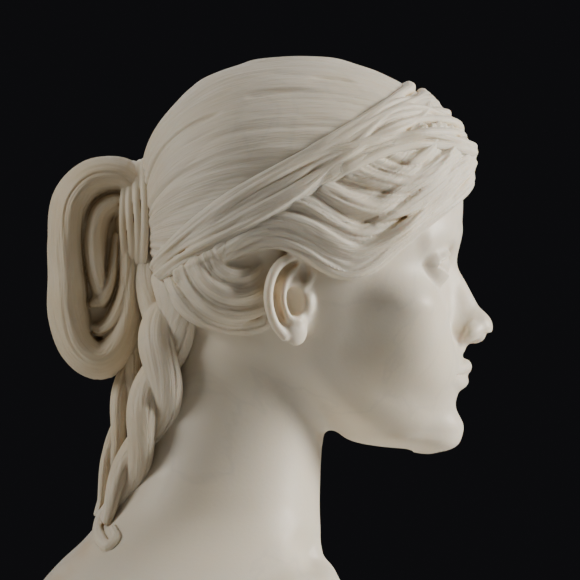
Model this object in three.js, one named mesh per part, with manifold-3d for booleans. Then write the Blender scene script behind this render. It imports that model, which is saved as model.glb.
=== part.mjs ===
// A life-size marble portrait bust of a woman with her hair tied back, standing on a turned marble socle.
// The bust turns on the socle about an upright steel pivot pin, which is set in the bust with a lead sleeve,
// runs in a brass bush in the socle, and is held from below by a washer and two nuts.
// Millimetres, +Z up. The origin is the middle of the baize underneath. The face looks along -Y.
import * as THREE from "three";
import { mergeVertices } from "three/addons/utils/BufferGeometryUtils.js";
import Module from "manifold-3d";

const wasm = await Module();
wasm.setup();

// ---- Driving dimensions -------------------------------------------------------------------------

const GAP = 0.3; // between neighbouring pieces

const HEAD_HEIGHT = 225; // chin to the crown of the skull, under the hair
const SHOULDER_WIDTH = 384; // across both upper arms
const FOOT_RADIUS = 66; // the round foot carved under the bust
const FOOT_HEIGHT = 34;

const SOCLE_HEIGHT = 104;
const SOCLE_TOP_RADIUS = 84;
const SOCLE_WAIST_RADIUS = 58;
const SOCLE_BASE_RADIUS = 98;
const PLINTH_WIDTH = 214;
const PLINTH_HEIGHT = 26;
const BAIZE_THICKNESS = 2;
const BAIZE_MARGIN = 5; // the baize stops this far inside the plinth's edge

const PIN_RADIUS = 10;
const PIN_DEPTH = 92; // how far the pin goes up into the bust
const THREAD_RADIUS = 8;
const THREAD_PITCH = 2;
const THREAD_TAIL = 2; // the thread that shows past the lock nut
const LEAD_WALL = 6;
const BUSH_WALL = 4;
const BUSH_FLANGE_RADIUS = 34;
const BUSH_FLANGE_THICKNESS = 3;
const PLASTER_WALL = 3;
const BEARING_RADIUS = 32; // the washer that the bust turns on
const BEARING_THICKNESS = 2.5;
const SHADOW_JOINT = 1.5; // open joint between the socle and the bust's foot
const CLAMP_WASHER_RADIUS = 22;
const CLAMP_WASHER_THICKNESS = 3;
const NUT_ACROSS_FLATS = 24;
const NUT_HEIGHT = 6;
const RECESS_CLEARANCE = 4; // round the nuts and the washer, for a socket spanner
const EDGE_CHAMFER = 3; // along the plinth's top edges
const PIN_CHAMFER = 1.5;
const NUT_CHAMFER = 1;
const CUT = 1; // how far a cutting solid runs past the face that it opens

// ---- Places that follow from them ---------------------------------------------------------------

const plinthBottom = BAIZE_THICKNESS + GAP;
const plinthTop = plinthBottom + PLINTH_HEIGHT;
const socleBottom = plinthTop + GAP;
const socleTop = socleBottom + SOCLE_HEIGHT;
const footBottom = socleTop + SHADOW_JOINT;
const bearingTop = footBottom - GAP;
const bearingBottom = bearingTop - BEARING_THICKNESS;
const flangeTop = bearingBottom - GAP;
const flangeBottom = flangeTop - BUSH_FLANGE_THICKNESS;
const bushBottom = socleBottom + 1;
const pinHole = PIN_RADIUS + GAP;
const bushOuter = pinHole + BUSH_WALL;
const plasterOuter = bushOuter + GAP + PLASTER_WALL;
const socleBore = plasterOuter + GAP;
const leadOuter = pinHole + LEAD_WALL;
const bustBore = leadOuter + GAP;
const boreTop = footBottom + PIN_DEPTH + GAP;
const flangeSeat = Math.max(BUSH_FLANGE_RADIUS, BEARING_RADIUS) + GAP;
const nutCornerRadius = NUT_ACROSS_FLATS / Math.sqrt(3);
const recessRadius = Math.max(CLAMP_WASHER_RADIUS, nutCornerRadius) + RECESS_CLEARANCE;
const recessDepth = CLAMP_WASHER_THICKNESS + 2 * NUT_HEIGHT + THREAD_TAIL + 5 * GAP;
const recessRoof = plinthBottom + recessDepth;
const washerTop = recessRoof - GAP;
const washerBottom = washerTop - CLAMP_WASHER_THICKNESS;
const nutBottom = washerBottom - GAP - NUT_HEIGHT;
const lockNutBottom = nutBottom - GAP - NUT_HEIGHT;
const threadTop = washerTop + GAP;

// The figure is drawn in its own frame: heights above the chin, and forward of the ears, in head heights.
const chestDrop = 1.02; // the chest's lowest point, below the chin
const earsForward = 0.275; // the ears, forward of the pivot
const chestSink = 6; // how far the chest's lowest point sinks into the foot
const chinZ = footBottom + FOOT_HEIGHT - chestSink + chestDrop * HEAD_HEIGHT;
const heads = (n) => n * HEAD_HEIGHT;
const height = (n) => chinZ + heads(n);
const forward = (n) => -heads(earsForward + n);

// ---- Shape helpers ------------------------------------------------------------------------------

// A solid from a closed three.js geometry.
function solid(geometry) {
  const bare = geometry.index ? geometry.toNonIndexed() : geometry.clone();
  const points = new THREE.BufferGeometry().setAttribute("position", bare.getAttribute("position"));
  const merged = mergeVertices(points, 1e-3);
  return new wasm.Manifold(
    new wasm.Mesh({
      numProp: 3,
      vertProperties: merged.attributes.position.array,
      triVerts: new Uint32Array(merged.index.array),
    }),
  );
}

function geometryOf(manifold) {
  const mesh = manifold.getMesh();
  const positions = new Float32Array(mesh.numVert * 3);
  for (let i = 0; i < mesh.numVert; i++) {
    const at = i * mesh.numProp;
    positions.set(mesh.vertProperties.subarray(at, at + 3), i * 3);
  }
  return new THREE.BufferGeometry()
    .setAttribute("position", new THREE.BufferAttribute(positions, 3))
    .setIndex(new THREE.BufferAttribute(new Uint32Array(mesh.triVerts), 1));
}

// A turned solid about the Z axis from [radius, z] points, lowest first, closed on the axis.
function turned(profile, sides = 48) {
  const outline = [[0, profile[0][1]], ...profile, [0, profile.at(-1)[1]]];
  const points = outline.map(([radius, z]) => new THREE.Vector2(radius, z));
  return solid(new THREE.LatheGeometry(points, sides).rotateX(Math.PI / 2));
}

function disc(radius, bottom, top, sides = 48) {
  return turned(
    [
      [radius, bottom],
      [radius, top],
    ],
    sides,
  );
}

// A tube about the Z axis.
function sleeve(inner, outer, bottom, top, sides = 48) {
  return disc(outer, bottom, top, sides).subtract(disc(inner, bottom - CUT, top + CUT, sides));
}

// A hollow of a turned profile: a quarter round or scotia between two [radius, z] points.
function cove([r0, z0], [r1, z1], depth, steps = 10) {
  return Array.from({ length: steps + 1 }, (_, i) => {
    const t = i / steps;
    return [r0 + (r1 - r0) * t - depth * Math.sin(Math.PI * t), z0 + (z1 - z0) * t];
  });
}

// A rounded moulding that stands out of the profile, as a torus does.
function torus(radius, bottom, top, bulge, steps = 6) {
  return Array.from({ length: steps + 1 }, (_, i) => {
    const t = i / steps;
    return [radius + bulge * Math.sin(Math.PI * t), bottom + (top - bottom) * t];
  });
}

// A body drawn through level sections, each { z, width, front, back, across } in head heights:
// half its width, how far forward and back of the ears it reaches, and a shift sideways.
function sectioned(sections, sides = 28, rings = 2 * sections.length, power = 2.2) {
  const track = (a, b, c) =>
    new THREE.CatmullRomCurve3(
      sections.map((s) => new THREE.Vector3(s[a], s[b], c ? (s[c] ?? 0) : 0)),
      false,
      "catmullrom",
      0.4,
    );
  const outline = track("width", "front", "back");
  const place = track("z", "z", "across");
  const geometry = new THREE.CylinderGeometry(1, 1, 1, sides, rings - 1);
  const position = geometry.attributes.position;
  for (let i = 0; i < position.count; i++) {
    const t = position.getY(i) + 0.5;
    const size = outline.getPoint(t);
    const at = place.getPoint(t);
    const side = -position.getX(i);
    const fore = position.getZ(i);
    const round = (v) => Math.sign(v) * Math.abs(v) ** (2 / power);
    const middle = (size.y + size.z) / 2;
    const depth = (size.y - size.z) / 2;
    position.setXYZ(
      i,
      heads(at.z + round(side) * size.x),
      forward(middle + round(fore) * depth),
      height(at.x),
    );
  }
  const made = solid(geometry);
  return made.volume() < 0 ? solid(flipped(geometry)) : made;
}

function flipped(geometry) {
  const index = geometry.index.array;
  for (let i = 0; i < index.length; i += 3) [index[i + 1], index[i + 2]] = [index[i + 2], index[i + 1]];
  return geometry;
}

// An ellipsoid of half sizes [across, fore, up] at [across, fore, up], leaning forward by lean, in radians.
function egg(sizes, centre, lean = 0, turn = 0, sides = 20) {
  const geometry = new THREE.SphereGeometry(1, sides, Math.round(sides * 0.6))
    .scale(heads(sizes[0]), heads(sizes[1]), heads(sizes[2]))
    .rotateX(lean)
    .rotateZ(turn)
    .translate(heads(centre[0]), forward(centre[1]), height(centre[2]));
  return solid(geometry);
}

// A ring whose rope is fat and whose hole is small, standing in the Y-Z plane.
function coil(ringRadius, ropeRadius, stretch, centre) {
  const geometry = new THREE.TorusGeometry(ringRadius, ropeRadius, 10, 28)
    .rotateY(Math.PI / 2)
    .scale(heads(stretch[0]), heads(stretch[1]), heads(stretch[2]))
    .translate(heads(centre[0]), forward(centre[1]), height(centre[2]));
  return solid(geometry);
}

const joined = (solids) => solids.reduce((all, one) => all.add(one));
const mirrored = (make) => make(1).add(make(-1));

// ---- The bust -----------------------------------------------------------------------------------

const half = SHOULDER_WIDTH / 2 / HEAD_HEIGHT; // half the shoulders' width in head heights

function torso() {
  const body = sectioned(
    [
      { z: -1.06, width: 0.72 * half, front: 0.24, back: -0.72 },
      { z: -0.86, width: 0.86 * half, front: 0.27, back: -0.76 },
      { z: -0.66, width: 0.96 * half, front: 0.25, back: -0.79 },
      { z: -0.5, width: half, front: 0.21, back: -0.78 },
      { z: -0.4, width: 0.95 * half, front: 0.155, back: -0.73 },
      { z: -0.33, width: 0.82 * half, front: 0.11, back: -0.67 },
      { z: -0.26, width: 0.58 * half, front: 0.08, back: -0.6 },
      { z: -0.2, width: 0.4 * half, front: 0.055, back: -0.54 },
      { z: -0.14, width: 0.24 * half, front: 0.03, back: -0.46 },
    ],
    36,
  );
  // The chest and arms are cut off in one rounded sweep, which narrows to the foot.
  const sweep = sectioned(
    [
      { z: -chestDrop, width: 0.24 * half, front: -0.1, back: -0.45 },
      { z: -0.99, width: 0.4 * half, front: -0.03, back: -0.52 },
      { z: -0.92, width: 0.61 * half, front: 0.09, back: -0.64 },
      { z: -0.8, width: 0.83 * half, front: 0.22, back: -0.76 },
      { z: -0.64, width: 1.02 * half, front: 0.33, back: -0.87 },
      { z: -0.4, width: 1.17 * half, front: 0.4, back: -0.95 },
      { z: 0.3, width: 1.29 * half, front: 0.5, back: -1.05 },
    ],
    36,
  );
  return body.intersect(sweep);
}

// The neck leans forward and runs up into the hair.
function neck() {
  return sectioned([
    { z: -0.36, width: 0.36, front: 0.03, back: -0.6 },
    { z: -0.24, width: 0.285, front: 0.045, back: -0.54 },
    { z: -0.1, width: 0.245, front: 0.05, back: -0.47 },
    { z: 0.04, width: 0.23, front: 0.06, back: -0.415 },
    { z: 0.2, width: 0.225, front: 0.08, back: -0.36 },
    { z: 0.36, width: 0.22, front: 0.08, back: -0.33 },
    { z: 0.5, width: 0.2, front: 0.06, back: -0.3 },
  ]);
}

function foot() {
  const top = footBottom + FOOT_HEIGHT;
  const rim = footBottom + 0.2 * FOOT_HEIGHT;
  return turned([
    [FOOT_RADIUS, footBottom],
    [FOOT_RADIUS, rim],
    ...cove([FOOT_RADIUS - 4, rim], [FOOT_RADIUS + 2, top], 0.22 * FOOT_HEIGHT),
  ]);
}

function head() {
  const skull = sectioned([
    { z: 0.0, width: 0.05, front: 0.36, back: 0.16 },
    { z: 0.03, width: 0.115, front: 0.405, back: 0.06 },
    { z: 0.1, width: 0.19, front: 0.42, back: -0.02 },
    { z: 0.2, width: 0.25, front: 0.425, back: -0.18 },
    { z: 0.34, width: 0.29, front: 0.42, back: -0.3 },
    { z: 0.5, width: 0.32, front: 0.405, back: -0.38 },
    { z: 0.64, width: 0.33, front: 0.43, back: -0.4 },
    { z: 0.78, width: 0.33, front: 0.42, back: -0.38 },
    { z: 0.9, width: 0.28, front: 0.33, back: -0.3 },
    { z: 1.0, width: 0.1, front: 0.12, back: -0.12 },
  ]);
  const nose = sectioned(
    [
      { z: 0.28, width: 0.03, front: 0.45, back: 0.38 },
      { z: 0.3, width: 0.06, front: 0.49, back: 0.38 },
      { z: 0.33, width: 0.065, front: 0.52, back: 0.38 },
      { z: 0.38, width: 0.05, front: 0.5, back: 0.38 },
      { z: 0.46, width: 0.045, front: 0.455, back: 0.36 },
      { z: 0.54, width: 0.05, front: 0.425, back: 0.36 },
    ],
    12,
  );
  const ear = (side) => egg([0.03, 0.065, 0.125], [0.325 * side, -0.01, 0.395], 0.12, 0.35 * side, 14);
  return joined([skull, nose, mirrored(ear)]);
}

function hair() {
  const cap = sectioned([
    { z: 0.36, width: 0.2, front: -0.06, back: -0.3 },
    { z: 0.42, width: 0.3, front: -0.02, back: -0.36 },
    { z: 0.54, width: 0.355, front: 0.18, back: -0.4 },
    { z: 0.66, width: 0.37, front: 0.36, back: -0.42 },
    { z: 0.74, width: 0.375, front: 0.43, back: -0.42 },
    { z: 0.84, width: 0.365, front: 0.44, back: -0.39 },
    { z: 0.94, width: 0.31, front: 0.36, back: -0.3 },
    { z: 1.01, width: 0.21, front: 0.22, back: -0.19 },
    { z: 1.053, width: 0.08, front: 0.09, back: -0.07 },
  ]);
  const roll = (side) => egg([0.07, 0.17, 0.1], [0.3 * side, -0.2, 0.385], -0.25, 0.2 * side, 18);
  return joined([cap, mirrored(roll)]);
}

// The cloth band goes round the head in a plane that climbs from the nape to above the brow.
function headband() {
  const geometry = new THREE.TorusGeometry(1, 0.07, 8, 36)
    .scale(heads(0.365), heads(0.455), heads(0.95))
    .rotateX(-0.53)
    .translate(0, forward(0), height(0.675));
  return solid(geometry);
}

// The knot of hair stands off the back of the head on a bound stalk.
function chignon() {
  const loop = coil(0.66, 0.34, [0.155, 0.125, 0.3], [0, -0.542, 0.48]);
  const heart = egg([0.115, 0.08, 0.2], [0, -0.53, 0.48]);
  const stalk = egg([0.12, 0.09, 0.165], [0, -0.405, 0.6]);
  return joined([loop, heart, stalk]);
}

// Twisted locks hang from the knot down the nape.
function napeLocks() {
  const near = (side) =>
    sectioned(
      [
        { z: -0.28, width: 0.02, front: -0.475, back: -0.52, across: 0.075 * side },
        { z: -0.16, width: 0.045, front: -0.42, back: -0.52, across: 0.085 * side },
        { z: -0.02, width: 0.06, front: -0.37, back: -0.5, across: 0.1 * side },
        { z: 0.14, width: 0.07, front: -0.29, back: -0.45, across: 0.12 * side },
        { z: 0.3, width: 0.075, front: -0.26, back: -0.4, across: 0.12 * side },
        { z: 0.44, width: 0.06, front: -0.28, back: -0.38, across: 0.1 * side },
      ],
      14,
    );
  return mirrored(near);
}

function bust() {
  const bore = disc(bustBore, footBottom - CUT, boreTop);
  return joined([torso(), foot(), neck(), head(), hair(), headband(), chignon(), napeLocks()]).subtract(bore);
}

// ---- The socle ----------------------------------------------------------------------------------

// From the bottom: a torus, a fillet, a deep scotia down to the waist, a fillet and a rounded cap.
function socle() {
  const roll = 3; // how far the torus and the cap swell
  const step = 7; // each fillet stands back this far from the moulding beside it
  const quirk = 3; // the scotia starts this far inside each fillet
  const fillet = 0.05 * SOCLE_HEIGHT;
  const capBottom = socleTop - 0.16 * SOCLE_HEIGHT;
  const baseTop = socleBottom + 0.2 * SOCLE_HEIGHT;
  const torusRadius = SOCLE_BASE_RADIUS - roll;
  const capRadius = SOCLE_TOP_RADIUS - roll;
  const lowFillet = torusRadius - step;
  const highFillet = capRadius - step / 2;
  const scotiaStart = [lowFillet - quirk, baseTop + fillet];
  const scotiaEnd = [highFillet - quirk, capBottom - fillet];
  const body = turned([
    [torusRadius, socleBottom],
    ...torus(torusRadius, socleBottom, baseTop, roll),
    [lowFillet, baseTop],
    [lowFillet, baseTop + fillet],
    ...cove(scotiaStart, scotiaEnd, (scotiaStart[0] + scotiaEnd[0]) / 2 - SOCLE_WAIST_RADIUS),
    [highFillet, capBottom - fillet],
    [highFillet, capBottom],
    ...torus(capRadius, capBottom, socleTop - roll / 2, roll),
    [capRadius - roll, socleTop],
  ]);
  const bore = disc(socleBore, socleBottom - CUT, socleTop + CUT);
  const seat = disc(flangeSeat, flangeBottom - GAP, socleTop + CUT);
  return body.subtract(bore).subtract(seat);
}

function plinth() {
  const slabHeight = PLINTH_HEIGHT - EDGE_CHAMFER;
  const slab = new THREE.BoxGeometry(PLINTH_WIDTH, PLINTH_WIDTH, slabHeight).translate(
    0,
    0,
    plinthBottom + slabHeight / 2,
  );
  const corner = PLINTH_WIDTH / Math.SQRT2;
  const topCorner = corner - EDGE_CHAMFER * Math.SQRT2;
  const bevel = new THREE.CylinderGeometry(topCorner, corner, EDGE_CHAMFER, 4)
    .rotateX(Math.PI / 2)
    .rotateZ(Math.PI / 4)
    .translate(0, 0, plinthTop - EDGE_CHAMFER / 2);
  return solid(slab)
    .add(solid(bevel))
    .subtract(disc(pinHole, plinthBottom - CUT, plinthTop + CUT))
    .subtract(disc(recessRadius, plinthBottom - CUT, recessRoof));
}

function baizePad() {
  const width = PLINTH_WIDTH - 2 * BAIZE_MARGIN;
  return solid(
    new THREE.BoxGeometry(width, width, BAIZE_THICKNESS).translate(0, 0, BAIZE_THICKNESS / 2),
  );
}

// ---- Pivot and fastenings -----------------------------------------------------------------------

function pivotPin() {
  const top = footBottom + PIN_DEPTH;
  const threadRoot = THREAD_RADIUS - THREAD_PITCH / 2;
  const thread = [];
  for (let z = lockNutBottom - THREAD_TAIL; z < threadTop - THREAD_PITCH; z += THREAD_PITCH) {
    thread.push([threadRoot, z], [THREAD_RADIUS, z + THREAD_PITCH / 2]);
  }
  return turned(
    [
      ...thread,
      [threadRoot, threadTop],
      [PIN_RADIUS, threadTop + GAP],
      [PIN_RADIUS, top - PIN_CHAMFER],
      [PIN_RADIUS - PIN_CHAMFER, top],
    ],
    40,
  );
}

// The lead run in round the pin, in the bust. It stops short of the bearing.
function leadSleeve() {
  return sleeve(pinHole, leadOuter, footBottom + 2, footBottom + PIN_DEPTH, 40);
}

// The bronze washer that the bust turns on.
function bearingWasher() {
  return sleeve(pinHole, BEARING_RADIUS, bearingBottom, bearingTop);
}

function socleBush() {
  const tube = disc(bushOuter, bushBottom, flangeTop);
  const flange = disc(BUSH_FLANGE_RADIUS, flangeBottom, flangeTop);
  return tube.add(flange).subtract(disc(pinHole, bushBottom - CUT, flangeTop + CUT));
}

// Plaster that beds the bush in the socle's bore.
function bushBedding() {
  return sleeve(bushOuter + GAP, plasterOuter, bushBottom, flangeBottom - GAP);
}

function clampWasher() {
  return sleeve(THREAD_RADIUS + GAP, CLAMP_WASHER_RADIUS, washerBottom, washerTop, 48);
}

function hexNut(bottom) {
  const blank = solid(
    new THREE.CylinderGeometry(nutCornerRadius, nutCornerRadius, NUT_HEIGHT, 6)
      .rotateX(Math.PI / 2)
      .translate(0, 0, bottom + NUT_HEIGHT / 2),
  );
  const top = bottom + NUT_HEIGHT;
  const rounding = turned([
    [nutCornerRadius - NUT_CHAMFER, bottom],
    [nutCornerRadius, bottom + NUT_CHAMFER],
    [nutCornerRadius, top - NUT_CHAMFER],
    [nutCornerRadius - NUT_CHAMFER, top],
  ]);
  const hole = disc(THREAD_RADIUS + GAP, bottom - CUT, top + CUT, 40);
  return blank.intersect(rounding).subtract(hole);
}

// ---- Assembly -----------------------------------------------------------------------------------

const marble = { color: 0xd9d3c6, roughness: 0.45, metalness: 0 };
const veinedMarble = { color: 0xcfc9bd, roughness: 0.35, metalness: 0 };
const steel = { color: 0x8c8f92, roughness: 0.4, metalness: 1 };
const brass = { color: 0xb08d4a, roughness: 0.35, metalness: 1 };
const bronze = { color: 0x8a6238, roughness: 0.45, metalness: 1 };
const lead = { color: 0x6b6d70, roughness: 0.6, metalness: 1 };
const plaster = { color: 0xe6e2d8, roughness: 0.9, metalness: 0 };
const baize = { color: 0x2f4a36, roughness: 0.95, metalness: 0 };

const assembly = new THREE.Group();

function place(name, made, finish) {
  const mesh = new THREE.Mesh(geometryOf(made), new THREE.MeshStandardMaterial(finish));
  mesh.name = name;
  assembly.add(mesh);
}

place("bust", bust(), marble);
place("socle", socle(), veinedMarble);
place("plinth", plinth(), veinedMarble);
place("baize_pad", baizePad(), baize);
place("pivot_pin", pivotPin(), steel);
place("lead_sleeve", leadSleeve(), lead);
place("bearing_washer", bearingWasher(), bronze);
place("socle_bush", socleBush(), brass);
place("bush_bedding", bushBedding(), plaster);
place("clamp_washer", clampWasher(), steel);
place("clamp_nut", hexNut(nutBottom), steel);
place("lock_nut", hexNut(lockNutBottom), steel);

export default assembly;
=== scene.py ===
"""A life-size marble bust on its turned socle. The carving is drawn as distance fields and meshed from them.

The figure has its own frame, in millimetres: points (x, f, z), with x to the side of the middle plane,
f forward of the ears and z above the chin, on a head 225 mm tall. Both halves are alike, so the fields
hold the half with x >= 0.
"""

import math

import bpy
import numpy as np
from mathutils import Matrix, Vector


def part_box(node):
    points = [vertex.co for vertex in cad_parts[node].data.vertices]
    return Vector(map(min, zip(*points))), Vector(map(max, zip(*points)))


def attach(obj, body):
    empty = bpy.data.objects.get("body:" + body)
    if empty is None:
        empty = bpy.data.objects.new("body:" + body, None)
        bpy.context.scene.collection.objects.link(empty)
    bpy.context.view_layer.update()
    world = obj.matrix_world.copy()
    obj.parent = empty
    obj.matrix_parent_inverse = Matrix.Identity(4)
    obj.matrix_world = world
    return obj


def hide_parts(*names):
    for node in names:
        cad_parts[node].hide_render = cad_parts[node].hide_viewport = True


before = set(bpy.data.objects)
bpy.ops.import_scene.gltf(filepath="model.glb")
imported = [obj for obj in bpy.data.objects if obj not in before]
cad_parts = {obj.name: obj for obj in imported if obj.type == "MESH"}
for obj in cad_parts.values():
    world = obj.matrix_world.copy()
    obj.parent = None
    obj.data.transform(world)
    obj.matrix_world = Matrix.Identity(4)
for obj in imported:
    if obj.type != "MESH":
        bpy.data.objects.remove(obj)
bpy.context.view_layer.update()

import openvdb
from mathutils import Vector

# ---- The figure's frame, from the CAD bust --------------------

HEAD = 225.0  # chin to crown of the skull
HAIR_TOP = 1.053 * HEAD  # the hair's highest point above the chin
FOOT_DROP = 257.5  # the foot's underside below the chin
FOOT_HEIGHT = 34.0
FOOT_RADIUS = 66.0
PIVOT_F = -0.275 * HEAD  # the pivot, behind the ears
BORE_RADIUS = 16.6
BORE_DEPTH = 92.3

bust_low, bust_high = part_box("bust")
METRES = (bust_high.z - bust_low.z) / (HAIR_TOP + FOOT_DROP)
CHIN_Z = bust_high.z - HAIR_TOP * METRES
EARS_Y = PIVOT_F * METRES


def place(x, f, z):
    """A point of the figure in the row frame, in metres."""
    return Vector((x * METRES, EARS_Y - f * METRES, CHIN_Z + z * METRES))


# ---- Small mathematics --------------------


def smooth_min(a, b, blend):
    """The lower of two values, rounded off where they are less than blend apart."""
    near = np.maximum(blend - np.abs(a - b), 0) / blend
    return (np.minimum(a, b) - near * near * blend * 0.25).astype(np.float32)


def smooth_max(a, b, blend):
    return -smooth_min(-a, -b, blend)


def ease(low, high, value):
    """From 0 at low to 1 at high, smoothly."""
    t = np.clip((value - low) / (high - low), 0, 1)
    return t * t * (3 - 2 * t)


def cos_sin(degrees):
    """The cosine and the sine of an angle."""
    t = math.radians(degrees)
    return math.cos(t), math.sin(t)


def table_at(rows, at):
    """Every column of a table, on a smooth curve against its first column."""
    rows = np.array(sorted(rows), float)
    knots, values = rows[:, 0], rows[:, 1:]
    slopes = np.gradient(values, knots, axis=0)
    flat = np.clip(np.ravel(at), knots[0], knots[-1])
    i = np.clip(np.searchsorted(knots, flat) - 1, 0, len(knots) - 2)
    step = (knots[i + 1] - knots[i])[:, None]
    t = (flat - knots[i])[:, None] / step
    low = (2 * t**3 - 3 * t**2 + 1) * values[i] + (t**3 - 2 * t**2 + t) * step * slopes[i]
    high = (3 * t**2 - 2 * t**3) * values[i + 1] + (t**3 - t**2) * step * slopes[i + 1]
    return (low + high).reshape(*np.shape(at), values.shape[1])


def curve(points, at):
    """A smooth curve through (position, value) points, read at the positions asked."""
    return table_at(points, at)[..., 0]


def spline(points, step):
    """Points evenly spaced along a smooth curve, with any further columns, and how far along each one is."""
    points = np.asarray(points, float)
    ends = np.vstack([2 * points[0] - points[1], points, 2 * points[-1] - points[-2]])
    t = np.linspace(0, 1, 24, endpoint=False)[:, None]  # 24 short steps between two points
    runs = []
    for p0, p1, p2, p3 in zip(ends, ends[1:], ends[2:], ends[3:]):
        bend = (2 * p0 - 5 * p1 + 4 * p2 - p3) * t**2 + (3 * p1 - p0 - 3 * p2 + p3) * t**3
        runs.append(0.5 * (2 * p1 + (p2 - p0) * t + bend))
    dense = np.vstack([*runs, points[-1:]])
    along = np.concatenate([[0], np.cumsum(np.linalg.norm(np.diff(dense[:, :3], axis=0), axis=1))])
    marks = np.linspace(0, along[-1], max(4, int(along[-1] / step)))
    return np.column_stack([np.interp(marks, along, dense[:, i]) for i in range(dense.shape[1])]), marks


REPEAT = 64  # units after which the noise repeats
LATTICE = np.random.default_rng(11).random((REPEAT, REPEAT)).astype(np.float32)


def noise(u, v):
    """Smooth noise from -1 to 1, whose swells are about a unit long in u and in v."""
    i, j = np.floor(u), np.floor(v)
    a, b = u - i, v - j
    a, b = a * a * (3 - 2 * a), b * b * (3 - 2 * b)
    i, j = i.astype(int) % REPEAT, j.astype(int) % REPEAT
    k, l = (i + 1) % REPEAT, (j + 1) % REPEAT
    low = LATTICE[i, j] * (1 - a) + LATTICE[k, j] * a
    high = LATTICE[i, l] * (1 - a) + LATTICE[k, l] * a
    return 2 * (low * (1 - b) + high * b) - 1


def strands(u, v):
    """Relief of combed hair from 0 in the creases to about 1: u counts locks across, v their lengths."""
    locks = np.abs(noise(u, v)) ** 0.75
    finer = np.abs(noise(u * 2.6 + 9, v * 1.4 + 3)) ** 0.8
    hairs = noise(u * 8.3 + 21, v * 2.2 + 7)
    return locks + 0.4 * finer + 0.1 * hairs


# ---- Distance fields --------------------

HEAD_CENTRE = (0.0, 2.0, 148.0)
INSIDE, OUTSIDE = 30.0, 125.0  # reaches from the middle that are surely inside and outside the head


def graded(low, fine_from, fine_to, high, fine, coarse):
    """Grid lines with fine steps between fine_from and fine_to and coarse ones outside them."""
    before = fine_from - np.arange(coarse, fine_from - low + coarse, coarse)[::-1] if low < fine_from else []
    inside = np.arange(fine_from, fine_to, fine)
    after = np.arange(fine_to, high + coarse, coarse)
    return np.concatenate([before, inside, after]).astype(np.float32)


class Field:
    """Signed distances in millimetres on a grid of lines, negative inside.

    flow holds the millimetres across and along the strands, and how strong they are from 0 to 1."""

    FAR = 30.0

    def __init__(self, xs, fs, zs):
        self.lines = (xs, fs, zs)
        self.value = np.full([len(line) for line in self.lines], self.FAR, np.float32)
        self.flow = np.zeros((3, *self.value.shape), np.float32)

    def window(self, low, high):
        """The slices and the coordinates of the grid points inside a box, or none."""
        cuts, coords = [], []
        for axis, (line, lo, hi) in enumerate(zip(self.lines, low, high)):
            start, stop = np.searchsorted(line, [lo, hi])
            cuts.append(slice(max(int(start) - 1, 0), min(int(stop) + 1, len(line))))
            shape = [1, 1, 1]
            shape[axis] = -1
            coords.append(line[cuts[-1]].reshape(shape))
        empty = min(c.size for c in coords) < 2
        return tuple(cuts), (None if empty else coords)

    def apply(self, action, cuts, distance, blend, flow=(0, 0, 0)):
        """Adds or carves a shape, or keeps only what is in it, with its flow where it is the nearest."""
        old = self.value[cuts]
        if action == "add":
            closer = distance < old
            for channel, value in zip(self.flow, flow):
                channel[cuts] = np.where(closer, value, channel[cuts])
            self.value[cuts] = smooth_min(old, distance, blend)
        elif action == "carve":
            self.value[cuts] = smooth_max(old, -distance, blend)
        else:
            self.value[cuts] = smooth_max(old, distance, blend)

    def emboss(self, low, high, relief, near=6):
        """Raises the surface inside a box by relief(x, f, z), which also gives the flow of the strands."""
        cuts, _ = self.window(low, high)
        value = self.value[cuts]
        i, j, k = np.nonzero(np.abs(value) < near)
        x, f, z = (line[cut][n] for line, cut, n in zip(self.lines, cuts, (i, j, k)))
        rise, share, across, along = relief(x, f, z)
        value[i, j, k] -= rise * share
        mostly = share > 0.5
        for channel, new in zip(self.flow, (across, along, share)):
            part = channel[cuts]
            part[i, j, k] = np.where(mostly, new, part[i, j, k])

    def shell(self, angle, z, lift=0.0):
        """The point at height z on the head's surface, at an angle in degrees from the front."""
        forward, sideways = cos_sin(angle)
        reach = np.arange(INSIDE, OUTSIDE, 0.4)
        x, f = reach * sideways, HEAD_CENTRE[1] + reach * forward
        at = [np.clip(np.searchsorted(line, v), 0, len(line) - 1) for line, v in zip(self.lines, (x, f))]
        level = min(int(np.searchsorted(self.lines[2], z)), len(self.lines[2]) - 1)
        inside = np.nonzero(self.value[at[0], at[1], level] < 0)[0]
        best = reach[inside[-1]] + lift if len(inside) else INSIDE
        return best * sideways, HEAD_CENTRE[1] + best * forward, z

    def side(self, f, z):
        """How far out in x the surface is at a place seen from the side."""
        j, k = (int(np.searchsorted(line, v)) for line, v in zip(self.lines[1:], (f, z)))
        inside = np.nonzero(self.value[:, j, k] < 0)[0]
        return float(self.lines[0][inside[-1]]) if len(inside) else INSIDE


def turned_into(coords, centre, pitch=0.0, yaw=0.0):
    """Coordinates about centre, turned in degrees in the f-z plane and then in the x-f plane."""
    x, f, z = (c - o for c, o in zip(coords, centre))
    c, s = cos_sin(pitch)
    f, z = f * c + z * s, z * c - f * s
    c, s = cos_sin(yaw)
    return x * c + f * s, f * c - x * s, z


def oval(p, q, a, b, past=0.0, end=1.0):
    """About the distance to an oval of half sizes a and b, with a rounded end."""
    k0 = np.sqrt((p / a) ** 2 + (q / b) ** 2 + (past / end) ** 2) + 1e-6
    k1 = np.sqrt((p / a**2) ** 2 + (q / b**2) ** 2 + (past / end**2) ** 2) + 1e-6
    return k0 * (k0 - 1) / k1


def egg(field, centre, sizes, blend=6, action="add", **turns):
    """A rounded form with half sizes along x, f and z."""
    reach = max(sizes) + blend + 3
    cuts, coords = field.window([c - reach for c in centre], [c + reach for c in centre])
    x, f, z = turned_into(coords, centre, **turns)
    field.apply(action, cuts, oval(x, f, sizes[0], sizes[1], z, sizes[2]), blend)


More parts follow.
